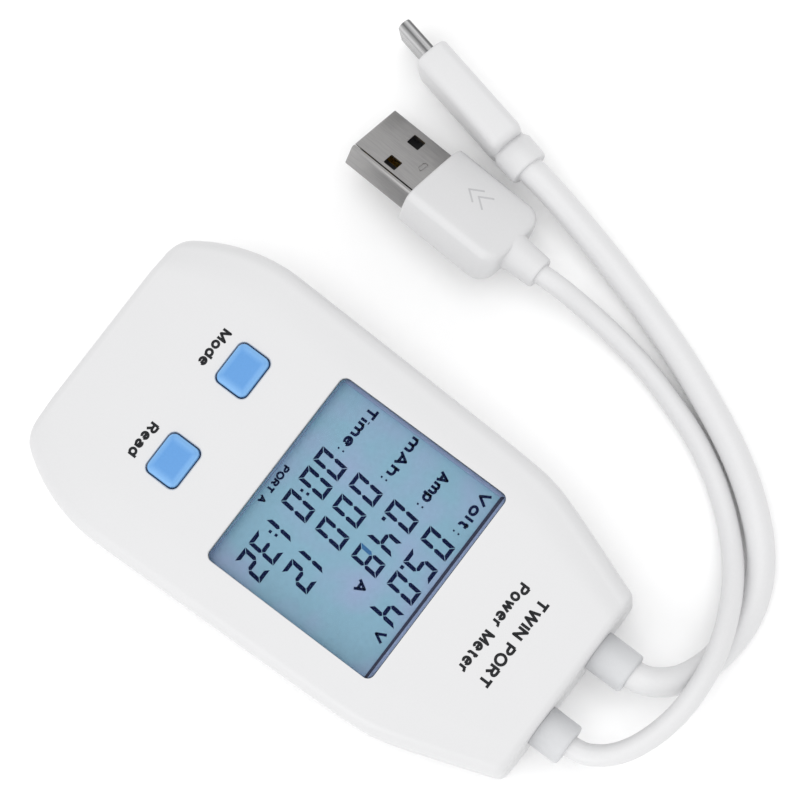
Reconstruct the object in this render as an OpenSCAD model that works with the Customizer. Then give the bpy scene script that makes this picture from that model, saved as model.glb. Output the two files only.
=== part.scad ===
// Two-port USB power meter: a split plastic case with a backlit display and two buttons, output sockets at
// its far end, and two short captive cables at its near end, one with a USB-A plug and one with a USB-C plug.
// It lies on its back: +Z is out of the display, +Y runs towards the cables, and the origin is at the
// middle of the case's underside.

/* [Case] */
// Length of the case without its cables
case_l = 92; // [90:0.5:94]
// Width of the case at the buttons, its widest part
case_w = 52.7; // [52:0.1:54]
// Thickness of the case at the display
case_t = 17.8; // [17.8:0.1:18.6]
// Wall thickness of both covers
wall = 1.8; // [1.6:0.1:2]
// Height of the joint between the two covers
joint_z = 9; // [8.8:0.1:9.2]
// Radius of the long edges of the case
edge_r = 2.6; // [2.2:0.1:3]
// Radius of the edges around both ends
end_r = 1.2; // [0.8:0.1:1.6]

/* [Display] */
// Width of the display window
window_w = 35.6; // [34:0.1:36]
// Length of the display window
window_l = 32.2; // [30:0.1:32.6]
// Distance of the window's middle from the middle of the case
window_y = 5.4; // [5:0.1:6]
// Radius of the window's corners
window_r = 1.2; // [0.6:0.1:2]

/* [Buttons] */
// Width of a button
button_w = 7.4; // [6.5:0.1:8]
// Length of a button
button_l = 5.8; // [5:0.1:6.5]
// Distance between the middles of the two buttons
button_pitch = 17.8; // [16:0.1:19]
// Distance of the buttons from the middle of the case
button_y = -24; // [-26:0.1:-23.5]
// Height of a button's top above the case
button_proud = 0.6; // [0.3:0.1:1]
// Gap between a button and the edge of its hole
button_gap = 0.2; // [0.15:0.05:0.3]

/* [Board] */
// Thickness of the main board
board_t = 1.6; // [1.2:0.2:1.6]
// Height of the main board's top face
board_top = 8; // [7.8:0.1:8]

/* [Cables] */
// Diameter of the USB-A cable
cable_a_d = 3.5; // [3.2:0.1:3.6]
// Diameter of the USB-C cable
cable_c_d = 4.7; // [4.4:0.1:4.8]
// Place of the USB-A cable along the near end
cable_a_x = 6.9; // [6:0.1:8]
// Place of the USB-C cable along the near end
cable_c_x = -7.7; // [-8.5:0.1:-7]

/* [Hidden] */
$fn = 32;

white = "#ececed";
button_blue = "#6ba8e6";
steel = "#b9bbbd";
gold = "#d8b25a";
black = "#26272a";
soft_white = "#e1e1e3";

// ---- Case outline ----
y_far = -case_l / 2;
y_near = case_l / 2;
shoulder_y = y_far + 19;       // where the rounded shoulders meet the straight sides
shoulder_r = 30;               // radius of the shoulders in plan
side_slope = 0.03;             // the long sides close in a little towards the cables
taper_slope = 0.364;           // slope of the two tapered sides at the near end
taper_half_w = 17.35;          // half width that the tapered sides reach at the near end
taper_blend = 1.2;             // softness of the corner between side and taper
far_corner_r = 2;
near_corner_r = 1;

// ---- Front face ----
front_slope = 0.105;           // fall of the front face from the window to the near end
front_slope_y = 25;            // where that fall begins
front_blend = 0.5;             // softness of that bend
far_fall = 0.9;                // fall of the front face from the window to the far end
far_fall_y = -12;              // where that fall begins
crown_start = 0.66;            // the front face is flat over this share of the width
crown_drop = 0.6;              // and falls this far before the long edges

// How far a rounded corner of radius r has pulled in at distance d from its end
function pull_in(d, r) = d < r ? r - sqrt(max(0, r * r - (r - d) * (r - d))) : 0;
// The smaller of two values, with a soft change from one to the other
function soft_min(a, b, k) = (a + b - sqrt((a - b) * (a - b) + k * k)) / 2;

function side_x(y) = case_w / 2 - side_slope * (y - shoulder_y);
function taper_x(y) = taper_half_w + taper_slope * (y_near - y);
function shoulder_x(y) = case_w / 2 - shoulder_r + sqrt(shoulder_r * shoulder_r - pow(y - shoulder_y, 2));
function half_width(y) = (y < shoulder_y ? shoulder_x(y) : soft_min(side_x(y), taper_x(y), taper_blend))
    - pull_in(y - y_far, far_corner_r) - pull_in(y_near - y, near_corner_r);

function end_pull(y) = pull_in(min(y - y_far, y_near - y), end_r);
function far_drop(y) = y < far_fall_y ? far_fall * pow((far_fall_y - y) / (far_fall_y - y_far), 2) : 0;
function front_z(y) = soft_min(case_t, case_t - front_slope * (y - front_slope_y), front_blend) - far_drop(y);

stations = concat(
    [for (d = [0, 0.2, 0.6, 1.2, 2, 4, 8, 12, 15.5, 19, 34]) y_far + d],
    [for (d = [25, 23, 21.6, 20.6, 19.6, 17.5, 3, 1.2, 0.6, 0.2, 0]) y_near - d]
);

// A quarter circle of points about [x, z], from angle a0 through 90 degrees
function quarter(x, z, r, a0, steps) = [for (i = [0:steps]) [x + r * cos(a0 + 90 * i / steps),
                                                             z + r * sin(a0 + 90 * i / steps)]];
// Right half of the case's cross-section at y, pulled in by inset, from the underside up to the front face
function half_section(y, inset) =
    let (w = half_width(y) - inset,
         top = front_z(y) - end_pull(y) - inset,
         low = end_pull(y) + inset,
         r = max(edge_r - inset, 0.6),
         flat_x = crown_start * w,
         crown_w = w - r - flat_x,
         edge_top = top - crown_drop)
    concat(quarter(w - r, low + r, r, -90, 4),
           quarter(w - r, edge_top - r, r, 0, 4),
           [[flat_x + crown_w / 2, top - crown_drop / 4], [flat_x, top]]);
function mirror_half(p) = [for (i = [len(p) - 1:-1:0]) [-p[i][0], p[i][1]]];
function case_ring(y, inset) =
    let (h = half_section(y, inset), y_in = y * (case_l / 2 - inset) / (case_l / 2))
    [for (p = concat(h, mirror_half(h))) [p[0], y_in, p[1]]];
function outline(inset) =
    let (k = (case_l / 2 - inset) / (case_l / 2))
    concat([for (y = stations) [half_width(y) - inset, y * k]],
           [for (i = [len(stations) - 1:-1:0]) [inset - half_width(stations[i]), stations[i] * k]]);

// A closed skin over a list of rings that all have the same number of points
module skin(rings) {
    n = len(rings[0]);
    m = len(rings);
    sides = [for (j = [0:m - 2], i = [0:n - 1], t = [0, 1])
        let (a = j * n + i, b = j * n + (i + 1) % n)
        t == 0 ? [a, b, b + n] : [a, b + n, a + n]];
    polyhedron(points = [for (r = rings) each r],
               faces = concat([[for (i = [n - 1:-1:0]) i]], sides, [[for (i = [0:n - 1]) (m - 1) * n + i]]),
               convexity = 6);
}

module case_body(inset) {
    skin([for (y = stations) case_ring(y, inset)]);
}

// ---- Heights of the inner pieces ----
inner_top = case_t - wall;                  // underside of the front face
seam_gap = 0.15;                            // the fine gap that shows as the joint between the covers
lip_h = 1.2;
lip_inset = 0.9;
flange_top = inner_top - 0.4;               // flat seat under the front face that the window's flange meets
flange_t = 0.5;
flange_w = 1.2;
window_top = case_t - 0.2;
gasket_t = 0.5;
polariser_t = 0.2;
glass_t = 1.8;
gasket_z = flange_top - flange_t - gasket_t;
polariser_z = gasket_z - polariser_t;
glass_z = polariser_z - glass_t;
guide_t = 2.6;
guide_z = glass_z - guide_t - 0.1;
view_w = window_w - 1;                      // clear view inside the gasket
view_l = window_l - 1;
view_y = window_y - 0.25;
glass_w = 38.6;
glass_l = 35;
holder_wall = 1.1;
board_low = board_top - board_t;

// ---- Fastening ----
boss_far = [21, -28];
boss_near = [16.8, 31];
boss_places = [for (s = [-1, 1], b = [boss_far, boss_near]) [s * b[0], b[1]]];
boss_d = 5;
pilot_d = 1.75;
screw_d = 1.7;
head_d = 3.8;
head_t = 1.5;
head_z = 1.3;
counterbore_d = 4.2;
board_post = [15, -18.5];
rest_post = [10, 33];
post_d = 4;

// ---- Sockets at the far end ----
a_socket_x = 7;
a_socket_w = 13.1;
a_socket_h = 5.7;
a_socket_l = 13.9;
sheet = 0.3;
c_socket_x = -8.5;
c_socket_w = 8.94;
c_socket_h = 3.26;
c_socket_l = 7.8;
socket_gap = 0.15;
socket_set_back = 0.1;
socket_y = y_far + socket_set_back;

// ---- Cable exits ----
exit_z = joint_z;
neck_d = 6.2;
relief_a_d = 7.1;
relief_a_l = 5.4;
relief_c_d = 6.9;
relief_c_l = 6.5;

// ---- Plugs: each is drawn along +Y from its metal tip, then laid in its place ----
plug_a_at = [-52.5, -33.3, 6.85];
plug_a_turn = [0, -32, -3];
plug_c_at = [-70.3, -39.8, 6];
plug_c_turn = [0, -90, -12.5];
plug_a_w = 12;
plug_a_h = 4.5;
plug_a_tip = 12.3;
mould_a = [15, 17.9, 7.6];
collar_a_l = 5.7;
collar_a_d = 5.8;
plug_c_w = 8.25;
plug_c_h = 2.4;
plug_c_tip = 6.7;
mould_c = [12, 19.6, 6.3];
collar_c_l = 4.9;
collar_c_d = 7;
shell_hold = 3.5;                           // length of each metal shell inside its moulding

function plug_axis(turn) = [-sin(turn[2]), cos(turn[2]), 0];
plug_a_end = plug_a_at + (plug_a_tip + mould_a[1] + collar_a_l) * plug_axis(plug_a_turn);
plug_c_end = plug_c_at + (plug_c_tip + mould_c[1] + collar_c_l) * plug_axis(plug_c_turn);

// Routes of the two free cables, from the strain relief to the plug. Both bend to the same side; the USB-A
// cable passes over the other in a low hump, and then they lie side by side on the table.
cable_a_route = concat([[cable_a_x, y_near + relief_a_l, exit_z], [6.5, 53.6, 9.1], [5.5, 55.6, 9.4],
    [4, 57.4, 9.8], [1.9, 59, 10.2], [-0.8, 60.3, 10.5], [-4, 61.3, 10.6], [-7.9, 61.9, 10.5], [-12.2, 61.9, 10.1],
    [-16.4, 61.4, 9.3], [-20.4, 60.4, 8.2], [-24.3, 58.9, 6.8], [-28.2, 56.9, 5.2], [-32, 54.3, 3.7],
    [-35.8, 50.8, 2.5], [-39.2, 46.8, 1.95], [-42.2, 42.3, 1.8], [-44.9, 37, 1.8], [-47.1, 31, 1.8],
    [-48.9, 25, 1.9], [-50, 19.2, 2.3], [-50.6, 14, 3.3], [-50.8, 9.8, 4.6], [-50.8, 6.2, 6]], [plug_a_end]);
cable_c_route = concat([[cable_c_x, y_near + relief_c_l, exit_z], [-8.3, 54.6, 8.8], [-9.4, 56.5, 8.2],
    [-10.9, 58.1, 7.4], [-12.8, 59.4, 6.4], [-14.9, 60.3, 5.4], [-17.1, 60.9, 4.5], [-19.4, 61.3, 3.8],
    [-21.8, 61.5, 3.2], [-24.4, 61.5, 2.8], [-27.2, 61.1, 2.5], [-30.2, 60.2, 2.4], [-33.4, 58.6, 2.4],
    [-36.8, 56.1, 2.4], [-40, 52.9, 2.4], [-42.9, 49.3, 2.4], [-45.6, 45.2, 2.4], [-48.1, 40.6, 2.4],
    [-50.8, 34.8, 2.4], [-53.5, 28.4, 2.4], [-56, 21.4, 2.4], [-58.3, 14, 2.6], [-60.2, 7, 3.4],
    [-61.7, 0.6, 4.5], [-62.9, -5.2, 5.6]], [plug_c_end]);

// ---- Sweeping a round tube along a route ----
function unit(v) = v / norm(v);
function heading(route, i) = unit(unit(route[i] - route[i - 1]) + unit(route[i + 1] - route[i]));
function ring_at(p, along, r, sides) =
    let (across = unit(cross(along, [0, 0, 1])), up = cross(across, along))
    [for (i = [0:sides - 1]) p + r * (cos(360 * i / sides) * across + sin(360 * i / sides) * up)];
module tube(route, d, sides, start, finish) {
    last = len(route) - 1;
    skin([for (i = [0:last])
        ring_at(route[i], i == 0 ? start : i == last ? finish : heading(route, i), d / 2, sides)]);
}

// ---- Small shared shapes ----
module rounded_plate(w, l, r, t) {
    linear_extrude(t) {
        square([w - 2 * r, l], center = true);
        square([w, l - 2 * r], center = true);
        for (x = [-1, 1], y = [-1, 1]) translate([x * (w / 2 - r), y * (l / 2 - r)]) circle(r);
    }
}
module plate(w, l, t) {
    translate([-w / 2, -l / 2, 0]) cube([w, l, t]);
}
// A flat-sided tunnel along +Y with fully rounded ends, as on a USB-C shell
module slot_bar(w, h, l) {
    translate([-(w - h) / 2, 0, -h / 2]) cube([w - h, l, h]);
    for (x = [-1, 1]) translate([x * (w - h) / 2, 0, 0]) rotate([-90, 0, 0]) cylinder(d = h, h = l);
}
module bar(w, l, h) {
    translate([-w / 2, 0, -h / 2]) cube([w, l, h]);
}

// ---- Openings that both covers share ----
module far_openings() {
    translate([a_socket_x, y_far - 1, board_top + a_socket_h / 2])
        bar(a_socket_w + 2 * socket_gap, wall + 2, a_socket_h + 2 * socket_gap);
    translate([c_socket_x, y_far - 1, board_top + c_socket_h / 2])
        slot_bar(c_socket_w + 2 * socket_gap, c_socket_h + 2 * socket_gap, wall + 2);
}
module near_openings() {
    for (x = [cable_a_x, cable_c_x]) translate([x, y_near - wall - 1, exit_z])
        rotate([-90, 0, 0]) cylinder(d = neck_d + 0.1, h = wall + 2);
}
module lip_band(out, in, z0, z1) {
    translate([0, 0, z0]) difference() {
        linear_extrude(z1 - z0) polygon(outline(out));
        translate([0, 0, -1]) linear_extrude(z1 - z0 + 2) polygon(outline(in));
    }
}
module slab(z0, z1) {
    translate([-case_w, -case_l, z0]) cube([2 * case_w, 2 * case_l, z1 - z0]);
}

// ---- Covers ----
module back_cover() {
    color(white) difference() {
        union() {
            difference() {
                case_body(0);
                case_body(wall);
                slab(joint_z - seam_gap / 2, case_t + 5);
            }
            lip_band(lip_inset, wall - 0.05, joint_z - 2, joint_z + lip_h - 0.1);
            for (p = boss_places) translate([p[0], p[1], wall - 0.3])
                cylinder(d = boss_d + 1, h = joint_z - seam_gap / 2 - wall + 0.3);
            for (s = [-1, 1], p = [board_post, rest_post]) translate([s * p[0], p[1], wall - 0.3])
                cylinder(d = post_d, h = board_low - wall + 0.3);
        }
        for (p = boss_places) translate([p[0], p[1], 0]) {
            translate([0, 0, -1]) cylinder(d = counterbore_d, h = head_z + head_t + 1);
            cylinder(d = screw_d + 0.4, h = joint_z + 1);
        }
        for (s = [-1, 1]) translate([s * board_post[0], board_post[1], wall + 0.6])
            cylinder(d = pilot_d, h = board_low);
        far_openings();
        near_openings();
    }
}

module front_cover() {
    color(white) difference() {
        union() {
            difference() {
                case_body(0);
                case_body(wall);
                slab(-5, joint_z + seam_gap / 2);
            }
            for (p = boss_places) translate([p[0], p[1], joint_z + seam_gap / 2])
                cylinder(d = boss_d, h = inner_top - joint_z + 0.2);
            translate([0, window_y, flange_top])
                rounded_plate(window_w + 2 * flange_w, window_l + 2 * flange_w, window_r, 1);
        }
        lip_band(lip_inset - 0.1, wall + 1, joint_z - 1, joint_z + lip_h);
        translate([0, window_y, flange_top - 2]) rounded_plate(window_w, window_l, window_r, 5);
        for (s = [-1, 1]) translate([s * button_pitch / 2, button_y, flange_top - 2])
            rounded_plate(button_w + 2 * button_gap, button_l + 2 * button_gap, 1.2, 5);
        for (p = boss_places) translate([p[0], p[1], joint_z - 1]) cylinder(d = pilot_d, h = 6);
        far_openings();
        near_openings();
    }
}

module case_screws() {
    color(steel) for (p = boss_places) translate([p[0], p[1], head_z]) difference() {
        union() {
            cylinder(d = head_d, h = head_t);
            cylinder(d = screw_d, h = 12.2);
        }
        for (a = [0, 90]) rotate(a) translate([-1.1, -0.3, -1]) cube([2.2, 0.6, 1.8]);
    }
}

// ---- Display ----
module display_window() {
    color("#cfe3ee", 0.4) {
        translate([0, window_y, flange_top - flange_t])
            rounded_plate(window_w + 2 * flange_w, window_l + 2 * flange_w, window_r, flange_t);
        translate([0, window_y, flange_top])
            rounded_plate(window_w - 0.2, window_l - 0.2, window_r, window_top - flange_top);
    }
}
module display_gasket() {
    color(black) translate([0, window_y, gasket_z]) difference() {
        plate(window_w + 2, window_l + 2, gasket_t);
        translate([0, view_y - window_y, -1]) plate(view_w, view_l, gasket_t + 2);
    }
}
module lcd_polariser() {
    color("#82afc8") translate([0, window_y, polariser_z]) plate(window_w + 1.6, window_l + 1.6, polariser_t);
}
module lcd_glass() {
    color("#9cc3d6") translate([0, window_y, glass_z]) {
        translate([0, 0, glass_t / 2]) plate(glass_w, glass_l - 2.4, glass_t / 2);
        plate(glass_w, glass_l, glass_t / 2);
    }
}
module lcd_pins() {
    pins = 18;
    color(steel) for (i = [0:pins - 1])
        translate([(i - (pins - 1) / 2) * 2 - 0.2, window_y + glass_l / 2 - 0.9, board_top])
            cube([0.4, 0.4, glass_z - board_top]);
}
module light_guide() {
    color("#f2f6f8") translate([0, window_y - 0.9, guide_z]) plate(glass_w - 0.4, glass_l - 2.2, guide_t);
}
module backlight_led() {
    color("#f6f1c8") translate([0, window_y - glass_l / 2 - 0.55, board_top]) {
        translate([-3, -0.5, 0]) cube([6, 1, 3.6]);
    }
}
module lcd_holder() {
    w = glass_w + 0.4;
    l = glass_l + 0.4;
    color("#f4f4f4") translate([0, window_y, board_top]) difference() {
        plate(w + 2 * holder_wall, l + 2 * holder_wall, glass_z + glass_t - board_top - 0.2);
        translate([0, 0, guide_z - board_top]) plate(w, l, 10);
        translate([0, 0, -1]) plate(w - 2, l - 1, 10);
        translate([0, -l / 2, -1]) plate(7, 3, 10);
    }
}

// ---- Board and the parts on it ----
module main_board() {
    half = [[17.3, y_far + 2.4], [17.3, -22], [21.4, -22], [21.4, 25], [13.6, 25], [13.6, 39.5]];
    color("#1f5a3c") translate([0, 0, board_low]) difference() {
        linear_extrude(board_t) polygon(concat(half, [for (i = [len(half) - 1:-1:0]) [-half[i][0], half[i][1]]]));
        for (s = [-1, 1]) translate([s * board_post[0], board_post[1], -1]) cylinder(d = 2, h = board_t + 2);
    }
}
module board_screws() {
    color(steel) for (s = [-1, 1]) translate([s * board_post[0], board_post[1], 0]) difference() {
        union() {
            translate([0, 0, 3]) cylinder(d = screw_d, h = board_top - 3);
            translate([0, 0, board_top]) cylinder(d = 3.4, h = 1.2);
        }
        for (a = [0, 90]) rotate(a) translate([-1, -0.25, board_top + 0.5]) cube([2, 0.5, 1]);
    }
}
module microcontroller() {
    leads = 8;
    color(black) translate([0, 6, board_top]) {
        translate([0, 0, 0.1]) plate(7, 7, 1.3);
        for (a = [0:90:270], i = [0:leads - 1]) rotate(a)
            translate([3.5, (i - (leads - 1) / 2) * 0.8 - 0.15, 0]) cube([1, 0.3, 0.5]);
    }
}
module crystal() {
    color(steel) translate([-11, 6, board_top]) rounded_plate(3.2, 5, 0.6, 1.1);
}
module voltage_regulator() {
    color(black) translate([0, -28.5, board_top]) {
        plate(4.5, 2.5, 1.5);
        for (x = [-1.5, 0, 1.5]) translate([x - 0.2, 1.25, 0]) cube([0.4, 1, 0.4]);
    }
}
module current_shunt() {
    color(black) translate([-8.5, -33.5, board_top]) plate(6.3, 3.1, 0.6);
}
module capacitors() {
    color("#b08d62") {
        for (x = [-14, -11, 10, 13]) translate([x, -2, board_top]) plate(1.6, 0.8, 0.8);
        for (x = [-6, -3, 3]) translate([x, 14, board_top]) plate(1.6, 0.8, 0.8);
        for (x = [-14.5, 15.5]) translate([x, -29.5, board_top]) plate(3.2, 1.6, 1.6);
    }
}
module resistors() {
    color(black) for (x = [-14, -11, 10, 13], y = [0.5, 12]) translate([x, y, board_top]) plate(1.6, 0.8, 0.45);
}

// ---- Buttons and switches ----
switch_h = 3.5;
plunger_top = 14.1;
plunger_d = 3.3;
button_top = front_z(button_y) + button_proud;
button_flange_top = front_z(button_y) - wall - 0.15;
module button_cap(s) {
    color(button_blue) translate([s * button_pitch / 2, button_y, 0]) {
        translate([0, 0, button_flange_top - 0.7]) rounded_plate(button_w + 1.8, button_l + 1.8, 1.2, 0.7);
        translate([0, 0, button_flange_top - 0.1])
            rounded_plate(button_w, button_l, 1, button_top - button_flange_top - 0.2);
        translate([0, 0, button_top - 0.35]) rounded_plate(button_w - 0.8, button_l - 0.8, 0.8, 0.35);
        translate([0, 0, plunger_top]) cylinder(d = 3.6, h = button_flange_top - plunger_top);
    }
}
module plunger(s) {
    color(black) translate([s * button_pitch / 2, button_y, board_top + 2.1])
        cylinder(d = plunger_d, h = plunger_top - board_top - 2.1);
}
module switch_body(s) {
    color("#3a3b3e") translate([s * button_pitch / 2, button_y, board_top]) difference() {
        plate(6, 6, switch_h);
        translate([0, 0, 1.5]) cylinder(d = plunger_d + 0.16, h = switch_h);
    }
}
module mode_button() { button_cap(-1); }
module read_button() { button_cap(1); }
module mode_switch_plunger() { plunger(-1); }
module read_switch_plunger() { plunger(1); }
module mode_switch_body() { switch_body(-1); }
module read_switch_body() { switch_body(1); }

// ---- Sockets ----
module usb_a_socket_shell() {
    color(steel) translate([a_socket_x, socket_y, board_top + a_socket_h / 2]) difference() {
        bar(a_socket_w, a_socket_l, a_socket_h);
        translate([0, -1, 0]) bar(a_socket_w - 2 * sheet, a_socket_l + 2, a_socket_h - 2 * sheet);
    }
}
module usb_a_socket_insulator() {
    back_l = 4;
    color("#f0f0f0") translate([a_socket_x, socket_y, board_top + a_socket_h / 2]) {
        translate([0, a_socket_l - back_l, 0]) bar(a_socket_w - 2 * sheet, back_l, a_socket_h - 2 * sheet);
        translate([0, 0.6, 1.05]) bar(11.1, a_socket_l - back_l, 1.84);
    }
}
module usb_a_socket_contacts() {
    color(gold) for (x = [-3.5, -1, 1, 3.5])
        translate([a_socket_x + x, socket_y + 1.2, board_top + a_socket_h / 2 + 0.05]) bar(1, 8.4, 0.16);
}
module usb_c_socket_shell() {
    color(steel) translate([c_socket_x, socket_y, board_top + c_socket_h / 2]) difference() {
        slot_bar(c_socket_w, c_socket_h, c_socket_l);
        translate([0, -1, 0]) slot_bar(c_socket_w - 2 * sheet, c_socket_h - 2 * sheet, c_socket_l + 2);
    }
}
module usb_c_socket_insulator() {
    back_l = 1.4;
    color(black) translate([c_socket_x, socket_y, board_top + c_socket_h / 2]) {
        translate([0, c_socket_l - back_l, 0]) slot_bar(c_socket_w - 2 * sheet, c_socket_h - 2 * sheet, back_l);
        translate([0, 1.2, 0]) bar(6.7, c_socket_l - 2, 0.7);
    }
}
module usb_c_socket_contacts() {
    color(gold) for (i = [0:11], s = [-1, 1])
        translate([c_socket_x + (i - 5.5) * 0.5, socket_y + 1.5, board_top + c_socket_h / 2 + s * 0.39])
            bar(0.25, 3.6, 0.08);
}

// ---- Strain reliefs: collar outside, neck through the wall, flange inside ----
module strain_relief(x, d, l) {
    color(soft_white) translate([x, y_near, exit_z]) rotate([-90, 0, 0]) rotate_extrude()
        polygon([[0, -wall - 1.6], [4.1, -wall - 1.6], [4.1, -wall], [neck_d / 2, -wall], [neck_d / 2, 0],
                 [d / 2, 0], [d / 2 - 0.1, l - 0.4], [d / 2 - 0.5, l], [0, l]]);
}
module usb_a_strain_relief() { strain_relief(cable_a_x, relief_a_d, relief_a_l); }
module usb_c_strain_relief() { strain_relief(cable_c_x, relief_c_d, relief_c_l); }

module usb_a_cable() {
    color(soft_white) tube(cable_a_route, cable_a_d, 8, [0, 1, 0], -plug_axis(plug_a_turn));
}
module usb_c_cable() {
    color(soft_white) tube(cable_c_route, cable_c_d, 10, [0, 1, 0], -plug_axis(plug_c_turn));
}

// Insulated cores from the inner end of a strain relief down to their pads on the board
module cores(x, count, pitch) {
    start_y = y_near - wall - 1.6;
    for (i = [0:count - 1]) {
        side = (i - (count - 1) / 2);
        tube([[x + side * pitch, start_y, exit_z + 0.2], [x + side * pitch, start_y - 1.5, exit_z + 0.2],
              [x + side * (pitch + 0.4), start_y - 3.5, exit_z + 0.1],
              [x + side * (pitch + 0.6), start_y - 5.5, board_top + 0.6],
              [x + side * (pitch + 0.6), start_y - 7, board_top + 0.55]], 1, 8, [0, -1, 0], [0, -1, 0]);
    }
}
module usb_a_cable_wires() { color("#c23b35") cores(cable_a_x, 4, 1.5); }
module usb_c_cable_wires() { color("#3c3d40") cores(cable_c_x, 5, 1.3); }

// ---- USB-A plug ----
// Ring of a rounded rectangle, w by h, at distance y from the tip
function rect_ring(w, h, r, y) =
    let (c = [[w / 2 - r, h / 2 - r, 0], [r - w / 2, h / 2 - r, 90], [r - w / 2, r - h / 2, 180],
              [w / 2 - r, r - h / 2, 270]])
    [for (k = c, i = [0:4]) [k[0] + r * cos(k[2] + 22.5 * i), y, k[1] + r * sin(k[2] + 22.5 * i)]];
// A moulded grip that starts at y0: soft edges at the front, rounded shoulders of radius rear_r at the back
module grip(size, y0, side_r, rear_r) {
    w = size[0];
    l = size[1];
    h = size[2];
    front = [for (d = [0, 0.15, 0.5]) [d, pull_in(d, 0.5), pull_in(d, 0.5)]];
    back = [for (a = [0:15:90]) [l - rear_r + rear_r * sin(a), rear_r * (1 - cos(a)), 0.8 * (1 - cos(a))]];
    skin([for (s = concat(front, back)) rect_ring(w - 2 * s[1], h - 2 * s[2], side_r, y0 + s[0])]);
}
module usb_a_plug_overmould() {
    color(soft_white) translate(plug_a_at) rotate(plug_a_turn) difference() {
        union() {
            grip(mould_a, plug_a_tip, 1.1, 3.2);
            translate([0, plug_a_tip + mould_a[1] - 0.6, 0]) rotate([-90, 0, 0])
                cylinder(d1 = collar_a_d + 0.3, d2 = collar_a_d - 0.3, h = collar_a_l + 0.6);
        }
        translate([0, plug_a_tip - 1, 0]) bar(plug_a_w, shell_hold + 1, plug_a_h);
    }
}
module usb_a_plug_shell() {
    window = 2.3;
    color(steel) translate(plug_a_at) rotate(plug_a_turn) difference() {
        bar(plug_a_w, plug_a_tip + shell_hold, plug_a_h);
        translate([0, -1, 0]) bar(plug_a_w - 2 * sheet, plug_a_tip + shell_hold + 2, plug_a_h - 2 * sheet);
        for (x = [-3.2, 3.2]) translate([x, 6.5 - window / 2, 0]) bar(window, window, plug_a_h + 2);
        translate([0, 10.4, plug_a_h / 2 - 0.15]) rounded_plate(2.2, 1, 0.44, 1);
    }
}
module usb_a_plug_insulator() {
    tongue_l = plug_a_tip + shell_hold - 4;
    color(black) translate(plug_a_at) rotate(plug_a_turn) {
        translate([0, 0.4, -1.02]) bar(11.3, tongue_l, 1.84);
        translate([0, 0.4 + tongue_l, 0])
            bar(plug_a_w - 2 * sheet, plug_a_tip + shell_hold - tongue_l - 0.4, plug_a_h - 2 * sheet);
    }
}
module usb_a_plug_contacts() {
    color(gold) translate(plug_a_at) rotate(plug_a_turn)
        for (x = [-3.5, -1, 1, 3.5]) translate([x, 1.4, -0.05]) bar(1, abs(x) > 2 ? 7.4 : 6.4, 0.1);
}

// ---- USB-C plug ----
module usb_c_plug_overmould() {
    color(soft_white) translate(plug_c_at) rotate(plug_c_turn) difference() {
        union() {
            grip(mould_c, plug_c_tip, 1.3, 1.6);
            translate([0, plug_c_tip + mould_c[1] - 0.6, 0]) rotate([-90, 0, 0])
                cylinder(d1 = collar_c_d + 0.2, d2 = collar_c_d - 0.3, h = collar_c_l + 0.6);
        }
        translate([0, plug_c_tip - 1, 0]) slot_bar(plug_c_w, plug_c_h, shell_hold + 1);
    }
}
module usb_c_plug_shell() {
    color(steel) translate(plug_c_at) rotate(plug_c_turn) difference() {
        slot_bar(plug_c_w, plug_c_h, plug_c_tip + shell_hold);
        translate([0, -1, 0]) slot_bar(plug_c_w - 0.5, plug_c_h - 0.5, plug_c_tip + shell_hold + 2);
    }
}
module usb_c_plug_insulator() {
    color(black) translate(plug_c_at) rotate(plug_c_turn) difference() {
        translate([0, 0.5, 0]) slot_bar(plug_c_w - 0.5, plug_c_h - 0.5, plug_c_tip + shell_hold - 0.5);
        translate([0, -0.5, 0]) bar(6.8, plug_c_tip, 0.9);
    }
}
module usb_c_plug_contacts() {
    color(gold) translate(plug_c_at) rotate(plug_c_turn) for (i = [0:11], s = [-1, 1])
        translate([(i - 5.5) * 0.5, 1.4, s * 0.4]) bar(0.25, 4.2, 0.1);
}

back_cover();
front_cover();
case_screws();
display_window();
display_gasket();
lcd_polariser();
lcd_glass();
lcd_pins();
light_guide();
backlight_led();
lcd_holder();
main_board();
board_screws();
microcontroller();
crystal();
voltage_regulator();
current_shunt();
capacitors();
resistors();
mode_button();
mode_switch_plunger();
mode_switch_body();
read_button();
read_switch_plunger();
read_switch_body();
usb_a_socket_shell();
usb_a_socket_insulator();
usb_a_socket_contacts();
usb_c_socket_shell();
usb_c_socket_insulator();
usb_c_socket_contacts();
usb_a_strain_relief();
usb_a_cable();
usb_a_cable_wires();
usb_a_plug_overmould();
usb_a_plug_shell();
usb_a_plug_insulator();
usb_a_plug_contacts();
usb_c_strain_relief();
usb_c_cable();
usb_c_cable_wires();
usb_c_plug_overmould();
usb_c_plug_shell();
usb_c_plug_insulator();
usb_c_plug_contacts();
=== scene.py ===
import math

import bmesh
import bpy
from mathutils import Euler, Matrix, Vector


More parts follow.
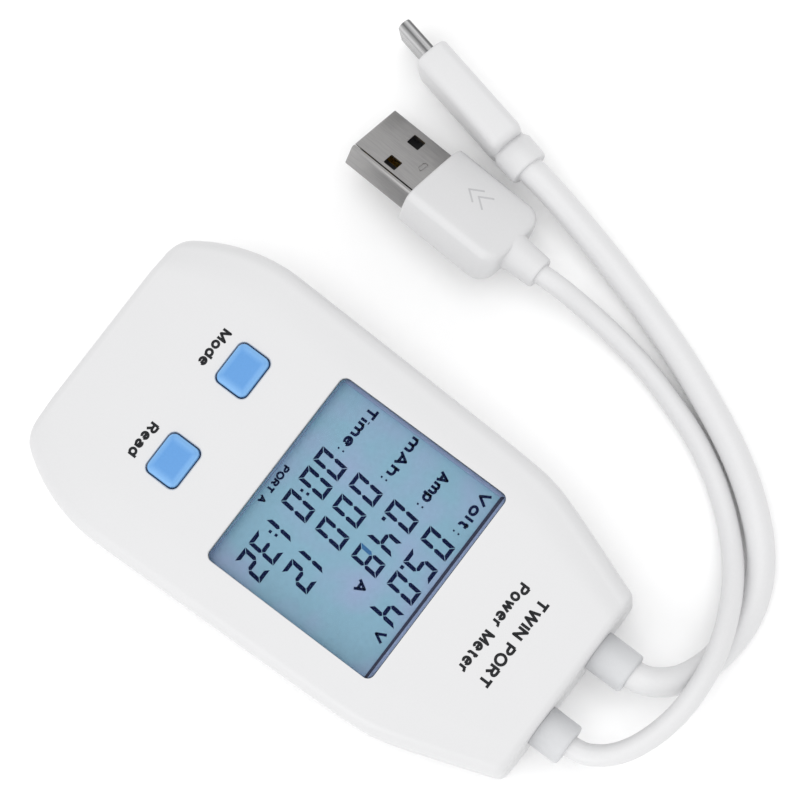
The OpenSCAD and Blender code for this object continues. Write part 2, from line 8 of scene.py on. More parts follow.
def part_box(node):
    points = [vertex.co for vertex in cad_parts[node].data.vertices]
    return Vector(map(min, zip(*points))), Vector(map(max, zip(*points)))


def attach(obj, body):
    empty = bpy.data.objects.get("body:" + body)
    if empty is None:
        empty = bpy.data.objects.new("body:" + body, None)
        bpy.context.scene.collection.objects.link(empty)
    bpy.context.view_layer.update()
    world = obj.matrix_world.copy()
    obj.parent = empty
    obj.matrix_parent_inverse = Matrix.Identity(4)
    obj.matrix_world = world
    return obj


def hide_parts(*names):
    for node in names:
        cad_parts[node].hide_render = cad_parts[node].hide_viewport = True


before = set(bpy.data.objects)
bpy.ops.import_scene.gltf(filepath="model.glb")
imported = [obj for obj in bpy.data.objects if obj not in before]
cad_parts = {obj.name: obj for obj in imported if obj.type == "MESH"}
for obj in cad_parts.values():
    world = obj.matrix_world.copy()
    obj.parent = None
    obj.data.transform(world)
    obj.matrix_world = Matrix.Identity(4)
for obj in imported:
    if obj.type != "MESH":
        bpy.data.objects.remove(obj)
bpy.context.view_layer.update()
MM = 0.001

# ---- Camera ----
# A long lens almost straight above the display, turned so that the cables run up and to the right.
view_back = Vector((0.0941, 0.1650, 0.9818)).normalized()
view_right = Vector((-0.791, -0.587, 0.174)).cross(view_back).normalized()
view_target = Vector((-20.7, -2.75, 9.0)) * MM
view_distance = 0.480
lens = bpy.data.cameras.new("camera")
lens.lens = 136.2
lens.sensor_width = 36.0
lens.clip_start = 0.02
lens.clip_end = 10.0
camera = bpy.data.objects.new("camera", lens)
camera.matrix_world = Matrix.Translation(view_target + view_back * view_distance) @ Matrix(
    (view_right, view_back.cross(view_right), view_back)
).transposed().to_4x4()
bpy.context.scene.collection.objects.link(camera)
bpy.context.scene.camera = camera
bpy.context.scene.view_settings.view_transform = "Standard"


# ---- Cables: jackets ----
# Two soft white PVC leads, extruded round, that leave the case side by side and end in their plugs. The
# USB-A lead is the thinner one and passes over the other once. A jacket has a satin skin with a fine drag.
def linear(hex_colour):
    """An sRGB hex colour as the linear RGBA that shaders take."""
    parts = [int(hex_colour[i : i + 2], 16) / 255 for i in (1, 3, 5)]
    return [c / 12.92 if c <= 0.04045 else ((c + 0.055) / 1.055) ** 2.4 for c in parts] + [1.0]


def add(tree, kind, inputs=None, **settings):
    """Adds a node with its settings. An input is a value, or another node's socket to link."""
    made = tree.nodes.new(kind)
    for key, value in settings.items():
        setattr(made, key, value)
    for key, value in (inputs or {}).items():
        socket = made.inputs[key]
        if isinstance(value, bpy.types.NodeSocket):
            tree.links.new(value, socket)
        else:
            socket.default_value = value
    return made


def material(name, dark, light, grain_mm, rough, bump=0.0, spread=0.06, stretch=(1, 1, 1), turn=0.0, **shader):
    """A finish whose colour, roughness and relief all come from one grain, of a real size and drawn out or not."""
    made = bpy.data.materials.new(name)
    made.use_nodes = True
    tree = made.node_tree
    tree.nodes.clear()
    place = add(tree, "ShaderNodeTexCoord").outputs["Object"]
    laid = add(tree, "ShaderNodeMapping", {"Vector": place, "Rotation": (0, 0, turn), "Scale": stretch},
               vector_type="TEXTURE").outputs["Vector"]
    grain = add(tree, "ShaderNodeTexNoise", {"Vector": laid, "Scale": 1 / (grain_mm * MM), "Detail": 3.0})
    drift = add(tree, "ShaderNodeTexNoise", {"Vector": place, "Scale": 1 / (14 * MM), "Detail": 2.0})
    both = add(tree, "ShaderNodeMath", {0: grain.outputs["Fac"], 1: drift.outputs["Fac"]}, operation="ADD")
    half = add(tree, "ShaderNodeMath", {0: both.outputs[0], 1: 0.5}, operation="MULTIPLY")
    colour = add(tree, "ShaderNodeMix", {"Factor": half.outputs[0]}, data_type="RGBA")
    colour.inputs[6].default_value = linear(dark)
    colour.inputs[7].default_value = linear(light)
    gloss = add(tree, "ShaderNodeMapRange", {"Value": half.outputs[0], "From Min": 0.3, "From Max": 0.7,
                                             "To Min": rough - spread, "To Max": rough + spread})
    surface = add(tree, "ShaderNodeBsdfPrincipled", {"Base Color": colour.outputs[2],
                                                     "Roughness": gloss.outputs[0], **shader})
    if bump:
        relief = add(tree, "ShaderNodeBump", {"Height": grain.outputs["Fac"], "Strength": 0.6,
                                              "Distance": bump * MM})
        tree.links.new(relief.outputs["Normal"], surface.inputs["Normal"])
    add(tree, "ShaderNodeOutputMaterial", {"Surface": surface.outputs["BSDF"]})
    return made


# Extruded PVC: a satin off-white with wide soft highlights. Its drag lines, about 0.1 mm apart, are drawn coarser.
jacket_pvc = material("extruded_soft_pvc", "#d0d0d1", "#d8d8d9", 0.5, 0.42, bump=0.01, IOR=1.53)


def cable(name, route, diameter, into_plug):
    """A round cable on a smooth curve through the points of its route, in millimetres, square to both its ends."""
    curve = bpy.data.curves.new(name, "CURVE")
    curve.dimensions = "3D"
    line = curve.splines.new("BEZIER")
    line.bezier_points.add(len(route) - 1)
    for knot, place in zip(line.bezier_points, route):
        knot.co = Vector(place) * MM
        knot.handle_left_type = knot.handle_right_type = "AUTO"
    for knot, way in ((line.bezier_points[0], Vector((0, 1, 0))), (line.bezier_points[-1], -Vector(into_plug))):
        knot.handle_left_type = knot.handle_right_type = "FREE"
        knot.handle_left = knot.co + way * (-square_to_end if knot is line.bezier_points[0] else square_to_end) * MM
        knot.handle_right = knot.co * 2 - knot.handle_left
    curve.bevel_depth = diameter / 2 * MM
    curve.bevel_resolution = 7
    curve.resolution_u = 8
    curve.use_fill_caps = True
    curve.materials.append(jacket_pvc)
    made = bpy.data.objects.new("finished_" + name, curve)
    bpy.context.scene.collection.objects.link(made)
    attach(made, "case")
    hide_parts(name)
    return made


square_to_end = 0.7
cable_a_x, cable_c_x = 6.9, -7.7
cable_a_d = 3.5
route_a = [(cable_a_x, 50.9, 9), (6.5, 53.6, 9.1), (5.5, 55.6, 9.4), (4, 57.4, 9.8), (1.9, 59, 10.2),
           (-0.8, 60.3, 10.5), (-4, 61.3, 10.6), (-7.9, 61.9, 10.5), (-12.2, 61.9, 10.1), (-16.4, 61.4, 9.3),
           (-20.4, 60.4, 8.2), (-24.3, 58.9, 6.8), (-28.2, 56.9, 5.2), (-32, 54.3, 3.7), (-35.8, 50.8, 2.5),
           (-39.2, 46.8, 1.95), (-42.2, 42.3, 1.8), (-44.9, 37, 1.8), (-47.1, 31, 1.8), (-48.9, 25, 1.9),
           (-50, 19.2, 2.3), (-50.6, 14, 3.3), (-50.8, 9.8, 4.6), (-50.8, 6.2, 6), (-50.65, 2.05, 6.85)]
cable_c_d = 4.7
route_c = [(cable_c_x, 52.0, 9), (-8.3, 54.6, 8.8), (-9.4, 56.5, 8.2), (-10.9, 58.1, 7.4), (-12.8, 59.4, 6.4),
           (-14.9, 60.3, 5.4), (-17.1, 60.9, 4.5), (-19.4, 61.3, 3.8), (-21.8, 61.5, 3.2), (-24.4, 61.5, 2.8),
           (-27.2, 61.1, 2.5), (-30.2, 60.2, 2.4), (-33.4, 58.6, 2.4), (-36.8, 56.1, 2.4), (-40, 52.9, 2.4),
           (-42.9, 49.3, 2.4), (-45.6, 45.2, 2.4), (-48.1, 40.6, 2.4), (-50.8, 34.8, 2.4), (-53.5, 28.4, 2.4),
           (-56, 21.4, 2.4), (-58.3, 14, 2.6), (-60.2, 7, 3.4), (-61.7, 0.6, 4.5), (-62.9, -5.2, 5.6),
           (-63.66, -9.83, 6)]
heading_a, heading_c = math.radians(3), math.radians(12.5)
cable_a = cable("usb_a_cable", route_a, cable_a_d, (-math.sin(heading_a), -math.cos(heading_a), 0))
cable_c = cable("usb_c_cable", route_c, cable_c_d, (-math.sin(heading_c), -math.cos(heading_c), 0))


# ---- Strain reliefs ----
# A moulded collar of the same soft plastic stands out of the case's near end round each cable. It tapers a
# little, has a soft outer lip, and closes on the jacket with a flat face.
# Moulded TPE: the greyest of the whites and matt, from the fine spark texture of its mould.
relief_tpe = material("moulded_relief_tpe", "#c1c2c4", "#c9cacc", 0.35, 0.48, bump=0.008, IOR=1.5)


def piece(name, points, faces, finish, slot, stands_for=(), turn=None, sharp=35, body="case"):
    """A mesh from points in millimetres, smooth but for its edges over the sharp angle, riding on a body."""
    mesh = bpy.data.meshes.new(name)
    mesh.from_pydata([Vector(p) * MM for p in points], [], faces)
    if turn is not None:
        mesh.transform(turn)
    mesh.materials.append(finish)
    made = bpy.data.objects.new("finished_" + name if stands_for else name, mesh)
    bpy.context.scene.collection.objects.link(made)
    smooth(made, sharp)
    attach(made, body)
    if stands_for:
        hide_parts(*stands_for)
    return made


def smooth(made, sharp):
    """Shades a mesh smooth, apart from the edges that turn by more than the sharp angle in degrees."""
    form = bmesh.new()
    form.from_mesh(made.data)
    bmesh.ops.remove_doubles(form, verts=form.verts, dist=1e-7)
    bmesh.ops.recalc_face_normals(form, faces=form.faces)
    for face in form.faces:
        face.smooth = True
    for edge in form.edges:
        edge.smooth = len(edge.link_faces) != 2 or edge.calc_face_angle() < math.radians(sharp)
    form.to_mesh(made.data)
    form.free()


def skin(rings, close=True):
    """Faces over a list of rings that all have the same number of points, with both ends closed or not."""
    n = len(rings[0])
    faces = [(j * n + i, j * n + (i + 1) % n, (j + 1) * n + (i + 1) % n, (j + 1) * n + i)
             for j in range(len(rings) - 1) for i in range(n)]
    if close:
        faces += [tuple(range(n)), tuple((len(rings) - 1) * n + i for i in range(n))]
    return [p for ring in rings for p in ring], faces


def turned(profile, steps=56):
    """A solid of revolution about +Y from (radius, y) pairs that run from one end of the axis to the other."""
    rings = [[(r * math.cos(2 * math.pi * i / steps), y, r * math.sin(2 * math.pi * i / steps))
              for i in range(steps)] for r, y in profile]
    return skin(rings)


def rounded(r0, y0, r1, y1, steps=5):
    """(radius, y) pairs past the start of a rounded edge that turns from along the axis to across it."""
    return [(r0 + (r1 - r0) * (1 - math.cos(a)), y0 + (y1 - y0) * math.sin(a))
            for a in [math.pi / 2 * i / steps for i in range(1, steps + 1)]]


case_end = 46.0
exit_z = 9.0
# Its flange sits behind the wall of the case and its neck goes through it, as (radius, y) pairs.
lip = 0.55
relief_root = [(0.2, -3.4), (4.1, -3.4), (4.1, -1.8), (3.1, -1.8), (3.1, -0.02)]
for name, x, outer, length in (
        ("usb_a_strain_relief", cable_a_x, 3.55, 5.4), ("usb_c_strain_relief", cable_c_x, 3.45, 6.5)):
    profile = relief_root + [(outer - 0.12, 0.0), (outer, 0.12), (outer - 0.04, length - lip)]
    profile += rounded(outer - 0.04, length - lip, outer - 0.04 - lip, length)
    profile += [(0.2, length)]
    points, faces = turned(profile)
    piece(name, points, faces, relief_tpe, "white_tpe", [name],
                         Matrix.Translation(Vector((x, case_end, exit_z)) * MM), 50)


# ---- Plug grips ----
# Each grip is moulded over the back of its metal shell: a flat soft-cornered block with a slightly crowned
# top, rounded shoulders, and a short tapered collar where the cable goes in.
def pull_in(d, r):
    """How far a rounded corner of radius r has pulled in at distance d from its end."""
    return r - math.sqrt(max(0.0, r * r - (r - d) ** 2)) if d < r else 0.0


def grip_rings(width, height, side_r, crown, sections, steps=8, across=10):
    """Rings of a rounded rectangle with crowned wide faces; a section is (y, inset at sides, inset at faces)."""
    rings = []
    for y, in_w, in_h in sections:
        w, h = width / 2 - in_w, height / 2 - in_h
        r = min(side_r, w * 0.98, h * 0.98)
        ring = []
        for sx, sz, a0 in ((1, 1, 0), (-1, 1, 90), (-1, -1, 180), (1, -1, 270)):
            for i in range(steps + 1):
                a = math.radians(a0 + 90 * i / steps)
                ring.append((sx * (w - r) + r * math.cos(a), sz * (h - r) + r * math.sin(a)))
            if a0 in (0, 180):
                ring += [(sx * (w - r) * (1 - 2 * k / across), sz * h) for k in range(1, across)]
        rings.append([(x, y, z * (1 - crown / (height / 2) * (x / w) ** 2)) for x, z in ring])
    return rings


def grip_sections(y0, length, front_r, rear_side, rear_face, steps=10):
    """Sections from the soft front edge, along the body, and round the shoulders at the back."""
    front = [(y0 + d, pull_in(d, front_r), pull_in(d, front_r)) for d in
             [front_r * (1 - math.cos(math.pi / 2 * i / 5)) for i in range(6)]]
    middle = [(y0 + front_r + (length - front_r - rear_side) * k / 6, 0, 0) for k in range(1, 6)]
    back = [(y0 + length - rear_side + rear_side * math.sin(a), rear_side * (1 - math.cos(a)),
             rear_face * (1 - math.cos(a))) for a in [math.pi / 2 * i / steps for i in range(steps + 1)]]
    return front + middle + back


def placed(at, turn):
    """Where a plug lies: it is made along +Y from its metal tip, then turned and set down."""
    spin = Euler([math.radians(a) for a in turn]).to_matrix().to_4x4()
    return Matrix.Translation(Vector(at) * MM) @ spin


def joined(parts):
    """One list of points and faces from several, for shapes that are moulded in one shot."""
    points, faces = [], []
    for some_points, some_faces in parts:
        faces += [tuple(i + len(points) for i in face) for face in some_faces]
        points += some_points
    return points, faces


# The same TPE a shade lighter, with a soft sheen where hands have smoothed it.
moulded_tpe = material("moulded_grip_tpe", "#cccccd", "#d4d4d5", 0.35, 0.46, bump=0.008, IOR=1.5)
plug_a_place = placed((-52.5, -33.3, 6.85), (0, -32, -3))
plug_c_place = placed((-70.3, -39.8, 6.0), (0, -90, -12.5))
tip_a, tip_c = 12.3, 6.7
grip_a, grip_c = (15.0, 17.9, 7.6), (12.0, 19.6, 6.3)
# A collar's radii at its root, past its shoulder and at its end, then its length.
collar_a, collar_c = (3.4, 3.05, 2.75, 5.7), (3.0, 3.55, 3.45, 4.9)
soft = 0.4
for name, size, tip, side_r, crown, rear, collar, place in (
    ("usb_a_plug_overmould", grip_a, tip_a, 1.4, 0.3, (3.0, 1.1), collar_a, plug_a_place),
    ("usb_c_plug_overmould", grip_c, tip_c, 1.5, 0.35, (1.5, 0.9), collar_c, plug_c_place),
):
    width, length, height = size
    block = skin(grip_rings(width, height, side_r, crown, grip_sections(tip, length, 0.6, *rear)))
    y0 = tip + length
    root, wide, narrow, collar_l = collar
    neck = [(0.2, y0 - 1.2), (root, y0 - 1.2), (root, y0 - 0.15), ((root + wide) / 2, y0 + 0.25),
            (wide, y0 + 0.8), (narrow, y0 + collar_l - soft)]
    neck += rounded(narrow, y0 + collar_l - soft, narrow - soft, y0 + collar_l)
    neck.append((0.2, y0 + collar_l))
    points, faces = joined([block, turned(neck)])
    piece(name, points, faces, moulded_tpe, "white_tpe", [name], place, 40)


def ribbon(line, width, low, high):
    """A flat stroke of an even width along a line of points, as a thin solid between two heights."""
    rings = []
    for i, here in enumerate(line):
        before = Vector(here) - Vector(line[i - 1]) if i else Vector(line[1]) - Vector(here)
        after = Vector(line[i + 1]) - Vector(here) if i < len(line) - 1 else before
        mean = (before.normalized() + after.normalized()) / 2
        across = Vector((-mean.y, mean.x)).normalized() * (width / 2 / max(0.6, mean.length))
        (ax, ay), (bx, by) = Vector(here) + across, Vector(here) - across
        rings.append([(ax, ay, low), (ax, ay, high), (bx, by, high), (bx, by, low)])
    return skin(rings)


# Two plain raised chevrons on the thinner lead's grip show which face goes up. Their strokes are painted a little
# greyer than the grip: painted shade for the shadows round the raised strokes.
chevrons = [[(-2.9, y + 2.0), (-1.2, y), (0.5, y + 2.0)] for y in (18.6, 20.6)]
shaded_arrow_tpe = material("raised_tpe_mark_painted_shade", "#b2b2b4", "#bcbcbe", 0.35, 0.5, bump=0.006, IOR=1.5)
points, faces = joined([ribbon(line, 0.3, grip_a[2] / 2 - 0.4, grip_a[2] / 2 + 0.02) for line in chevrons])
arrow_mark = piece("usb_a_plug_chevrons", points, faces, shaded_arrow_tpe, None, turn=plug_a_place)


# ---- Plug shells, tongues and contacts ----
# The USB-A shell is nickel-plated steel strip folded to a box: a fold seam runs near one edge, and both wide
# faces have two latch windows and a small staked dimple. The USB-C shell is drawn in one piece.
# Worn nickel plate: a mid-grey mirror dulled by scuffs along the way it is pushed in, drawn coarser than real.
scuffed_nickel = material("scuffed_nickel_plate", "#7e7e80", "#c2c0be", 0.22, 0.33, bump=0.0006, spread=0.05,
                          stretch=(1, 16, 1), turn=math.radians(-3), Metallic=1.0)
# Nickel over drawn steel: brighter, with long lines left by the die; reflection bands are painted into its colour
# below.
drawn_nickel = material("drawn_nickel_plate", "#1c1d1f", "#e2e2e3", 0.8, 0.27, bump=0.0008, spread=0.05,
                        stretch=(1, 20, 2.5), turn=math.radians(-12.5), Metallic=1.0)


def plate_ring(w, l, r, x, y, steps=8):
    """Outline of a rounded rectangle about (x, y)."""
    r = max(r, 0.05)
    return [(x + sx * (w / 2 - r) + r * math.cos(math.radians(a0 + 90 * i / steps)),
             y + sy * (l / 2 - r) + r * math.sin(math.radians(a0 + 90 * i / steps)))
            for sx, sy, a0 in ((1, 1, 0), (-1, 1, 90), (-1, -1, 180), (1, -1, 270))
            for i in range(steps + 1)]


def sleeve(w, h, r, sheet, y0, y1, edge, x=0.0, z=0.0):
    """A tube of bent or drawn sheet along +Y, rounded at its mouth, from y0 to y1."""
    rings = []
    for y, g in ((y0 + edge, 0), (y1, 0), (y1, sheet), (y0 + edge, sheet), (y0 + 0.3 * edge, sheet - 0.3 * edge),
                 (y0, sheet * 0.66), (y0, sheet * 0.34), (y0 + 0.3 * edge, 0.3 * edge), (y0 + edge, 0)):
        rings.append([(px, y, pz) for px, pz in plate_ring(w - 2 * g, h - 2 * g, r - g, x, z)])
    return skin(rings, close=False)


def solid(points, faces):
    """A throwaway solid, in millimetres, to join to a piece or to cut out of it."""
    mesh = bpy.data.meshes.new("tool")
    mesh.from_pydata([Vector(p) * MM for p in points], [], faces)
    made = bpy.data.objects.new("tool", mesh)
    bpy.context.scene.collection.objects.link(made)
    smooth(made, 30)
    return made


def carve(made, tools, turn=None):
    """Joins ("UNION") or cuts ("DIFFERENCE") solids, given as (operation, points, faces), and keeps the result."""
    for operation, points, faces in tools:
        tool = solid(points, faces)
        if turn is not None:
            tool.data.transform(turn)
        change = made.modifiers.new("carve", "BOOLEAN")
        change.operation = operation
        change.solver = "EXACT"
        change.object = tool
        bpy.context.view_layer.update()
        carved = bpy.data.meshes.new_from_object(made.evaluated_get(bpy.context.evaluated_depsgraph_get()))
        made.modifiers.clear()
        old = made.data
        made.data = carved
        bpy.data.meshes.remove(old)
        bpy.data.meshes.remove(tool.data)


def block(x0, x1, y0, y1, z0, z1):
    """A box to cut with."""
    points = [(x, y, z) for z in (z0, z1) for x, y in ((x0, y0), (x1, y0), (x1, y1), (x0, y1))]
    return points, [(0, 1, 2, 3), (4, 5, 6, 7), (0, 1, 5, 4), (1, 2, 6, 5), (2, 3, 7, 6), (3, 0, 4, 7)]


def plates(w, l, r, x, y, levels):
    """A rounded-rectangle solid through several levels, each (z, amount by which it grows all round)."""
    return skin([[(px, py, z) for px, py in plate_ring(w + 2 * g, l + 2 * g, r + g, x, y)]
                 for z, g in levels])


shell_in_grip = 3.5
shell_c_w, shell_c_h = 8.25, 2.4
stamp_y = 10.4
shell_a = piece("usb_a_plug_shell", *sleeve(12.0, 4.5, 0.5, 0.3, 0.0, tip_a + shell_in_grip, 0.14),
                scuffed_nickel, "nickel_steel", ["usb_a_plug_shell"], plug_a_place)
cuts = []
for side in (-1, 1):
    z0, z1 = sorted((side * 1.6, side * 2.6))
    for x in (-3.2, 3.2):
        cuts.append(("DIFFERENCE", *plates(2.3, 2.3, 0.2, x, 6.5, [(z0, 0), (z1, 0)])))
    z0, z1 = sorted((side * 2.08, side * 2.6))
    cuts.append(("DIFFERENCE", *plates(2.2, 1.0, 0.49, 0.0, stamp_y, [(z0, 0), (z1, 0)])))
    z0, z1 = sorted((side * 2.0, side * 2.24))
    cuts.append(("UNION", *plates(1.6, 0.4, 0.19, 0.0, stamp_y, [(z0, 0), (z1, 0)])))
cuts.append(("DIFFERENCE", *block(5.0, 5.3, -1, 14, 1.8, 2.6)))
carve(shell_a, cuts, plug_a_place)
smooth(shell_a, 30)

shell_c = piece("usb_c_plug_shell",
                *sleeve(shell_c_w, shell_c_h, shell_c_h / 2, 0.25, 0.0, tip_c + shell_in_grip, 0.2),
                drawn_nickel, "nickel_steel", ["usb_c_plug_shell"], plug_c_place)

# Painted reflection: duller and brighter bands painted along its rounded edges, standing in for the surroundings
# mirrored there: (place across the edge, brightness).
painted_reflection_bands = [(-1.0, 0.42), (-0.72, 0.8), (-0.17, 0.12), (0.35, 0.9), (0.75, 0.03), (1.0, 0.25)]
# Each point of the shell keeps its painted reflection brightness in an attribute.
painted_reflection_of = shell_c.data.attributes.new("painted_reflection", "FLOAT", "POINT")
for i, v in enumerate(shell_c.data.vertices):
    at = plug_c_place.inverted() @ v.co / MM
    across, painted_brightness = at.z / (shell_c_h / 2), 0.5
    for (a, low), (b, high) in zip(painted_reflection_bands, painted_reflection_bands[1:]):
        if abs(at.x) > (shell_c_w - shell_c_h) / 2 - 0.025 and a <= across <= b:
            painted_brightness = low + (high - low) * (across - a) / (b - a)
    painted_reflection_of.data[i].value = painted_brightness
# The painted reflection bands are added to the die streaks in the shell's colour mix.
tree = drawn_nickel.node_tree
mixed = next(node for node in tree.nodes if node.type == "MIX")
streaks = add(tree, "ShaderNodeMath", {0: mixed.inputs[0].links[0].from_socket, 1: 0.4, 2: -0.2},
              operation="MULTIPLY_ADD")
painted_reflection = add(tree, "ShaderNodeAttribute", attribute_name="painted_reflection")
streaks_and_painted_reflection = add(tree, "ShaderNodeMath", {0: streaks.outputs[0], 1: painted_reflection.outputs["Fac"]}, operation="ADD")
tree.links.new(streaks_and_painted_reflection.outputs[0], mixed.inputs[0])

# Moulded nylon is dull black or milky white; gold flash on spring bronze is warm and nearly mirror-bright.
black_nylon = material("moulded_black_nylon", "#1c1d20", "#2b2c30", 0.4, 0.5, bump=0.006, IOR=1.53)
natural_nylon = material("moulded_white_nylon", "#d8d8d4", "#e6e6e2", 0.4, 0.5, bump=0.006, IOR=1.53)
gold_flash = material("gold_flashed_bronze", "#c69a3c", "#e0b95e", 0.25, 0.26, bump=0.002, Metallic=1.0)


def finish_nodes(made_of, *nodes):
    """Gives CAD nodes whose shape is already right their finish."""
    for node in nodes:
        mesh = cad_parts[node].data
        mesh.materials.clear()
        mesh.materials.append(made_of)


finish_nodes(black_nylon, "usb_a_plug_insulator", "usb_c_plug_insulator")
finish_nodes(gold_flash, "usb_a_plug_contacts", "usb_c_plug_contacts")


# ---- Board and the parts soldered to it ----
# A green glass-epoxy board carries both sockets, a microcontroller in a square package, its crystal, a
# regulator, a low-ohm shunt that the current is measured across, and small ceramic parts.
# Solder mask is a glossy dark green, chip epoxy dull black with a fine grain, and fired ceramic matt brown. Tin
# and zinc are bright cool metals, and the wires' insulation is satin.
solder_mask = material("solder_masked_fr4", "#174a31", "#22603f", 0.5, 0.35, bump=0.01, IOR=1.5)
chip_epoxy = material("moulded_black_epoxy", "#202124", "#2e2f33", 0.2, 0.62, bump=0.008, IOR=1.55)
barium_ceramic = material("fired_brown_ceramic", "#8c6d48", "#b2906a", 0.3, 0.55, bump=0.004)
tinned_copper = material("tinned_copper", "#b5b6b8", "#d3d4d6", 0.2, 0.3, bump=0.003, Metallic=1.0)
zinc_steel = material("zinc_plated_screw_steel", "#8e9096", "#b2b5bb", 0.3, 0.34, bump=0.004, Metallic=1.0)
red_insulation = material("extruded_red_pvc", "#a32a26", "#c13a33", 0.4, 0.45, bump=0.006)
dark_insulation = material("extruded_black_pvc", "#2c2d30", "#3d3e42", 0.4, 0.45, bump=0.006)
finish_nodes(solder_mask, "main_board")
finish_nodes(chip_epoxy, "microcontroller", "voltage_regulator", "current_shunt", "resistors")
finish_nodes(barium_ceramic, "capacitors")
finish_nodes(tinned_copper, "crystal", "lcd_pins")
finish_nodes(zinc_steel, "board_screws", "case_screws")
finish_nodes(red_insulation, "usb_a_cable_wires")
finish_nodes(dark_insulation, "usb_c_cable_wires")


# ---- Output sockets ----
# The USB-A socket is a folded steel box round a white tongue, and the USB-C socket a drawn oval shell round a
# thin black one. Both stand on the board with their mouths flush in the case's far end.
# Each socket's x and z, then its width and height.
socket_a = (7.0, 10.85, 13.1, 5.7)
socket_c = (-8.5, 9.63, 8.94, 3.26)
mouth_y = -45.9
# New nickel plate: light grey and nearly a mirror, with short polishing lines.
bright_nickel = material("bright_nickel_plate", "#a3a3a5", "#c6c6c8", 0.5, 0.24, bump=0.003, spread=0.06,
                         stretch=(1, 3, 1), Metallic=1.0)
piece("usb_a_socket_shell",
      *sleeve(socket_a[2], socket_a[3], 0.6, 0.3, mouth_y, mouth_y + 13.9, 0.14, *socket_a[:2]),
      bright_nickel, "nickel_steel", ["usb_a_socket_shell"])

# Four sprung leaves, bent from the shell, hold the plug.
leaf_t = 0.14
springs = []
for x in (-3.3, 3.3):
    for side in (-1, 1):
        leaf = [(mouth_y + 7.5, 2.50), (mouth_y + 4.5, 2.30), (mouth_y + 3.2, 2.14), (mouth_y + 2.3, 2.20),
                (mouth_y + 1.7, 2.38)]
        if side > 0:
            leaf = [(y, 0.5 * (z + 2.5)) for y, z in leaf]
        ring = leaf + [(y, z + leaf_t) for y, z in reversed(leaf)]
        springs.append(skin([[(socket_a[0] + x + dx, y, socket_a[1] + side * z) for y, z in ring]
                             for dx in (-0.9, 0.9)]))
piece("usb_a_socket_springs", *joined(springs), bright_nickel, "nickel_steel")
piece("usb_c_socket_shell",
      *sleeve(socket_c[2], socket_c[3], 1.63, 0.3, mouth_y, mouth_y + 7.8, 0.18, *socket_c[:2]),
      bright_nickel, "nickel_steel", ["usb_c_socket_shell"])
finish_nodes(natural_nylon, "usb_a_socket_insulator")
finish_nodes(black_nylon, "usb_c_socket_insulator")
finish_nodes(gold_flash, "usb_a_socket_contacts", "usb_c_socket_contacts")


# ---- Display ----
# A positive liquid-crystal panel with a pale blue edge-lit backlight: glass on a white holder, a polariser
# film on top whose segments turn dark blue, a thin blue-grey foam gasket, and the clear window bonded above it.
# Opal acrylic and etched glass glow evenly, the foam is dead matt, and the dark line along one edge is a deep navy.
opal_acrylic = material("opal_light_guide", "#e8eef2", "#f6fafc", 1.0, 0.4, IOR=1.49)
led_phosphor = material("yellow_led_phosphor", "#e6dfa8", "#f6f1c8", 0.3, 0.5, bump=0.004)
display_glass = material("etched_display_glass", "#8fb4c6", "#a6c9d9", 2.0, 0.2, IOR=1.52)
closed_foam = material("closed_cell_foam", "#7c8cae", "#92a2c2", 0.25, 0.85, bump=0.02)
navy_edge_line = material("navy_window_edge_line", "#060e2e", "#0e1a3e", 0.3, 0.6)
finish_nodes(opal_acrylic, "light_guide")
finish_nodes(led_phosphor, "backlight_led")
finish_nodes(display_glass, "lcd_glass")
finish_nodes(natural_nylon, "lcd_holder")

# Lit polariser film: a pale grey-blue that drifts towards lilac in soft patches a few millimetres across.
window_w, window_l, window_r, window_y = 35.6, 32.2, 1.2, 5.4
film_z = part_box("lcd_polariser")[1].z / MM
lit_film = bpy.data.materials.new("backlit_polariser_film")
lit_film.use_nodes = True
tree = lit_film.node_tree
tree.nodes.clear()
place = add(tree, "ShaderNodeTexCoord").outputs["Object"]
patch = add(tree, "ShaderNodeTexNoise", {"Vector": place, "Scale": 1 / (9 * MM), "Detail": 2.0})
lilac = add(tree, "ShaderNodeMapRange", {"Value": patch.outputs["Fac"], "From Min": 0.42, "From Max": 0.72,
                                         "To Min": 0.0, "To Max": 1.0})
speck = add(tree, "ShaderNodeTexNoise", {"Vector": place, "Scale": 1 / (0.6 * MM), "Detail": 2.0})
tint = add(tree, "ShaderNodeMix", {"Factor": lilac.outputs[0]}, data_type="RGBA")
tint.inputs[6].default_value = linear("#739eb4")
tint.inputs[7].default_value = linear("#8498ba")
dots = add(tree, "ShaderNodeMapRange", {"Value": speck.outputs["Fac"], "To Min": 0.9, "To Max": 1.08})
fine = add(tree, "ShaderNodeMix", {0: 1.0, 6: tint.outputs[2], 7: dots.outputs[0]},
           data_type="RGBA", blend_type="MULTIPLY")
surface = add(tree, "ShaderNodeBsdfPrincipled", {"Base Color": fine.outputs[2], "Roughness": 0.35})
add(tree, "ShaderNodeOutputMaterial", {"Surface": surface.outputs["BSDF"]})
piece("lcd_film", *plates(window_w + 1.5, window_l + 1.5, 0.3, 0, window_y, [(film_z - 0.2, 0), (film_z, 0)]),
      lit_film, "polariser", ["lcd_polariser"])


def bow(x, y, rx, ry, start, end, steps=10):
    """Points along an arc of an ellipse, between two angles in degrees."""
    return [(x + rx * math.cos(math.radians(start + (end - start) * i / steps)),
             y + ry * math.sin(math.radians(start + (end - start) * i / steps))) for i in range(steps + 1)]


